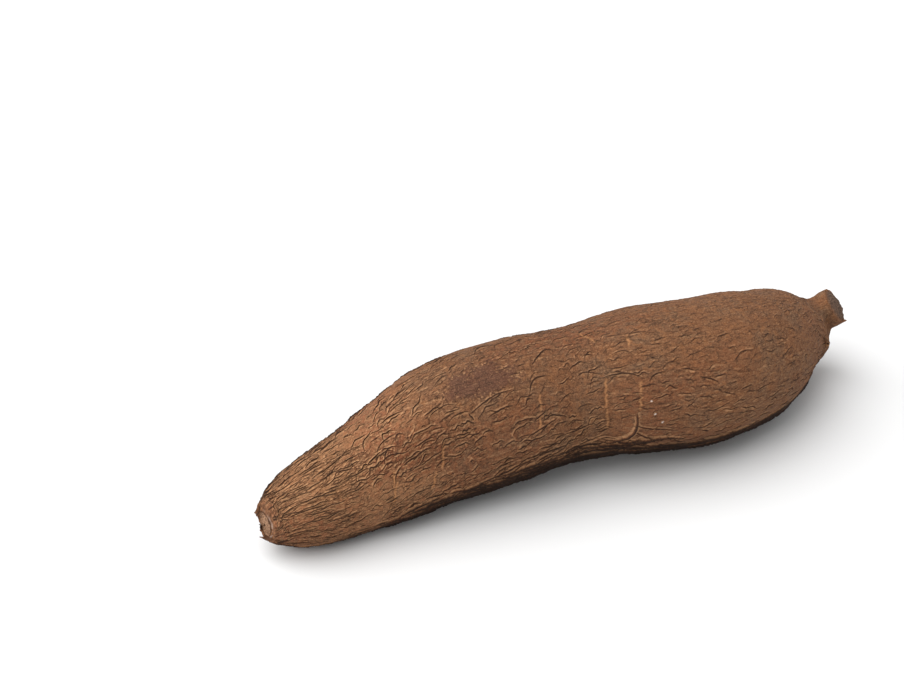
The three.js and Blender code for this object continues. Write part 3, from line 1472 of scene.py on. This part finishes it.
    def _tip_sheets(self, skin: Skin, shares: np.ndarray) -> dict[str, np.ndarray]:
        """What the finish reads on the tip's face, with a dark ring round its core.

        Args:
            skin: the root's smooth skin.
            shares: how far out each point counts as, 1 at the rim.

        Returns:
            Three values for each point, by name.
        """
        core = self.tip.core
        rim = skin.grown()[:1]
        none = np.zeros_like(shares)
        ring = 0.8 * smoothstep(np.abs(shares - core), 0.1, 0.03)
        front = smoothstep(np.cos(skin.turn - 0.2), 0.2, 0.8)
        patchy = smoothstep(grain(shares[..., None] * (9, 0, 0) + rim * (0.9, 0.9, 0), 25), -0.5, 0.5)
        pale = 0.5 * smoothstep(np.abs(shares - core - 0.14), 0.06, 0.02) * front * patchy
        return {
            "marks": np.stack([ring, none, none], -1),
            "ends": np.stack([smoothstep(shares, core + 0.02, core - 0.04), none, pale], -1),
            "grown": self._drawn_in(rim, shares),
        }

    @staticmethod
    def _drawn_in(rim: np.ndarray, shares: np.ndarray) -> np.ndarray:
        """A rim's places drawn in over the face, so that the grain runs on without a seam."""
        return rim * (1, 1, 0) * shares[..., None] + rim * (0, 0, 1)

    def _write(self, mesh: bpy.types.Mesh, skin: Skin, relief: Relief, faces: Sequence[np.ndarray]) -> None:
        """Keep the marks on the mesh, where the finish reads them.

        Args:
            mesh: the root's mesh.
            skin: its smooth skin.
            relief: its bark.
            faces: how far out each point of the tip's face counts as, and of the stalk's.
        """
        tip_shares, stalk_shares = faces
        none = np.zeros_like(stalk_shares)
        tip = self._tip_sheets(skin, tip_shares)
        stalk = {
            "ends": np.stack([none, smoothstep(stalk_shares, 1.0, 0.72), none], -1),
            "grown": self._drawn_in(skin.grown()[-1:], stalk_shares),
        }
        for name, values in self._bark_sheets(skin, relief).items():
            start = tip.get(name, np.zeros((*tip_shares.shape, 3)))
            stop = stalk.get(name, np.zeros((*stalk_shares.shape, 3)))
            rings = np.concatenate([start, values, stop]).reshape(-1, 3)
            keep(mesh, name, np.concatenate([rings, start[:1, 0], stop[-1:, 0]]))


@dataclass(frozen=True)
class Flake:
    """A shred of bark, fast to the root at one end and curling off it at the other. Millimetres."""

    name: str
    along: float
    turn: float
    length: float
    width: float
    curl: float = 0.1
    rise: float = 0.1
    thickness: float = 0.9
    # How far its foot stands off the smooth skin.
    off_skin: float = 0.35
    # the shred's values for the painted-light channels: the whole shred is darkened through the underside's
    # painted-shade channel
    painted_light: Triple = (0.75, 0.0, 0.0)
    steps: int = 18
    strips: int = 8

    def build(self, skin: Skin, bark: bpy.types.Material) -> bpy.types.Object:
        """Make the shred where it sits.

        Args:
            skin: the root's smooth skin.
            bark: its material.

        Returns:
            The shred.
        """
        column = skin.column(self.turn)
        ring = int(np.interp(self.along, skin.along, np.arange(skin.rings)))
        places = skin.places()
        out = skin.facing(places[ring - 1 : ring + 2])[1, column]
        ahead = unit(places[ring - 6, column] - places[ring + 6, column])
        across = np.cross(out, ahead)
        share = np.linspace(0, 1, self.steps)
        bend = self.rise + self.curl * share**1.5
        on = np.concatenate([[0], np.cumsum(np.cos(bend))[:-1]]) * self.length / (self.steps - 1)
        off = np.concatenate([[0], np.cumsum(np.sin(bend))[:-1]]) * self.length / (self.steps - 1)
        side = np.linspace(-0.5, 0.5, self.strips)
        cells = np.stack([share * 5 + self.turn, share * 0, share * 0], -1)
        width = self.width * (1 - 0.55 * share**2) * (1 + 0.35 * grain(cells, 33))
        torn = grain(np.stack([side * 4 + self.turn, side, side], -1), 34)
        ragged = 1 + 0.2 * share[:, None] * torn[None, :]
        middle = places[ring, column] + out * self.off_skin
        spine = middle + ahead * (on[:, None] * ragged)[..., None] + out * off[:, None, None]
        bulge = 0.5 * (1 - (2 * side) ** 2)[None, :, None]
        top = spine + across * (width[:, None] * side)[..., None] + out * bulge
        thick = self.thickness * (1 - 0.6 * share)[:, None, None] * np.ones((1, self.strips, 1))
        sheet = np.concatenate([top + out * thick / 2, (top - out * thick / 2)[:, ::-1]], 1)
        sheet[..., 2] = np.clip(sheet[..., 2], 0.1, None)
        return self._mesh(sheet, bark)

    def _mesh(self, sheet: np.ndarray, bark: bpy.types.Material) -> bpy.types.Object:
        """Close the loops of points into a piece that wears the bark.

        Args:
            sheet: the points, loop by loop, in millimetres.
            bark: the bark's material.

        Returns:
            The shred.
        """
        rows, loop = sheet.shape[:2]
        faces = [
            (i * loop + j, i * loop + (j + 1) % loop, (i + 1) * loop + (j + 1) % loop, (i + 1) * loop + j)
            for i in range(rows - 1)
            for j in range(loop)
        ]
        faces.append(tuple(range(loop))[::-1])
        faces.append(tuple((rows - 1) * loop + j for j in range(loop)))
        mesh = bpy.data.meshes.new(self.name)
        mesh.from_pydata((sheet.reshape(-1, 3) * MM).tolist(), [], faces)
        keep(mesh, "grown", sheet)
        keep(mesh, "painted_light", np.broadcast_to(self.painted_light, sheet.shape))
        mesh.materials.append(bark)
        piece = link(self.name, mesh)
        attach(piece, "root")
        return piece


FLAKES = (
    Flake("tip_flap", along=4.5, turn=-32, length=11.0, width=8.0),
    Flake("tip_shred", along=3.5, turn=105, length=9.5, width=6.0),
    Flake("tip_sliver", along=3.0, turn=240, length=8.0, width=4.5, curl=0.15),
)


@dataclass(frozen=True)
class Studio:
    """A pale floor, soft light from above and behind on the left, and the camera."""

    lens: float = 85.0
    swing: float = -26.0
    tilt: float = 32.0
    distance: float = 0.983
    aim_from_middle: Triple = (-0.03175, 0.06439, 0.0032)
    floor_size: float = 40.0
    floor_colour: Triple = (0.68, 0.68, 0.68)
    # Each lamp's name, the way to it, how wide it looks in degrees, and its strength.
    lamps: tuple = (
        ("key", (-0.55, 0.12, 0.83), 80, 3.7),
        ("fill", (-0.45, -0.6, 0.9), 50, 0.4),
    )
    # The sky's colour low down and high up, and how high it turns from one to the other.
    horizon: Triple = (1.0, 1.0, 1.0)
    sky: Triple = (0.6, 0.6, 0.6)
    turns_from: float = 0.1
    turns_to: float = 0.22

    def floor(self) -> bpy.types.Object:
        """Lay the floor.

        Returns:
            The floor.
        """
        half = self.floor_size / 2
        mesh = bpy.data.meshes.new("floor")
        corners = [(-half, -half, 0), (half, -half, 0), (half, half, 0), (-half, half, 0)]
        mesh.from_pydata(corners, [], [(0, 1, 2, 3)])
        floor = link("floor", mesh)
        r = Recipe(bpy.data.materials.new("floor_paper"))
        sockets = {"Base Color": self.floor_colour, "Roughness": 0.9, "Specular IOR Level": 0.1}
        mesh.materials.append(r.finish(r.node("ShaderNodeBsdfPrincipled", {}, sockets)))
        return floor

    def lamp(self, name: str, way: Triple, spread: float, strength: float) -> bpy.types.Object:
        """Hang one soft lamp, so far off that its light is even.

        Args:
            name: its name.
            way: the direction to it from the root.
            spread: how wide it looks from the root, in degrees.
            strength: how strong it is.

        Returns:
            The lamp.
        """
        light = bpy.data.lights.new(name, "SUN")
        light.angle = math.radians(spread)
        light.energy = strength
        lamp = link(name, light)
        lamp.location = Vector(way)
        lamp.rotation_euler = Vector(way).to_track_quat("Z", "Y").to_euler()
        return lamp

    def camera(self) -> bpy.types.Object:
        """Stand the camera where it looks down on the root from its tip's side.

        Returns:
            The camera.
        """
        swing, tilt = math.radians(self.swing), math.radians(self.tilt)
        back = Vector((math.sin(swing) * math.cos(tilt), -math.cos(swing) * math.cos(tilt), math.sin(tilt)))
        low, high = (Vector(corner) for corner in cad_box)
        aim = (low + high) / 2 + Vector(self.aim_from_middle)
        eye = bpy.data.cameras.new("camera")
        eye.lens = self.lens
        camera = link("camera", eye)
        camera.location = aim + back * self.distance
        camera.rotation_euler = back.to_track_quat("Z", "Y").to_euler()
        bpy.context.scene.camera = camera
        return camera

    def set_up(self) -> None:
        """Put up the floor, the lamps, the sky and the camera."""
        scene = bpy.context.scene
        self.floor()
        for name, way, spread, strength in self.lamps:
            self.lamp(name, way, spread, strength)
        r = Recipe(bpy.data.worlds.new("sky"))
        up = r.parts(r.node("ShaderNodeTexCoord", out="Generated"))[2]
        colour = r.mix(self.horizon, self.sky, r.step(up, self.turns_from, self.turns_to))
        scene.world = r.finish(r.node("ShaderNodeBackground", {}, {"Color": colour, "Strength": 1.0}))
        scene.view_settings.view_transform = "Standard"
        self.camera()


def main() -> None:
    """Build the root and its studio, and note the sizes."""
    logging.basicConfig(level=logging.INFO, format="%(name)s: %(message)s")
    Studio().set_up()
    log.info("studio set up")
    root = CassavaRoot().build()
    log.info("%s: %d points", root.name, len(root.data.vertices))


if __name__ == "__main__":
    main()
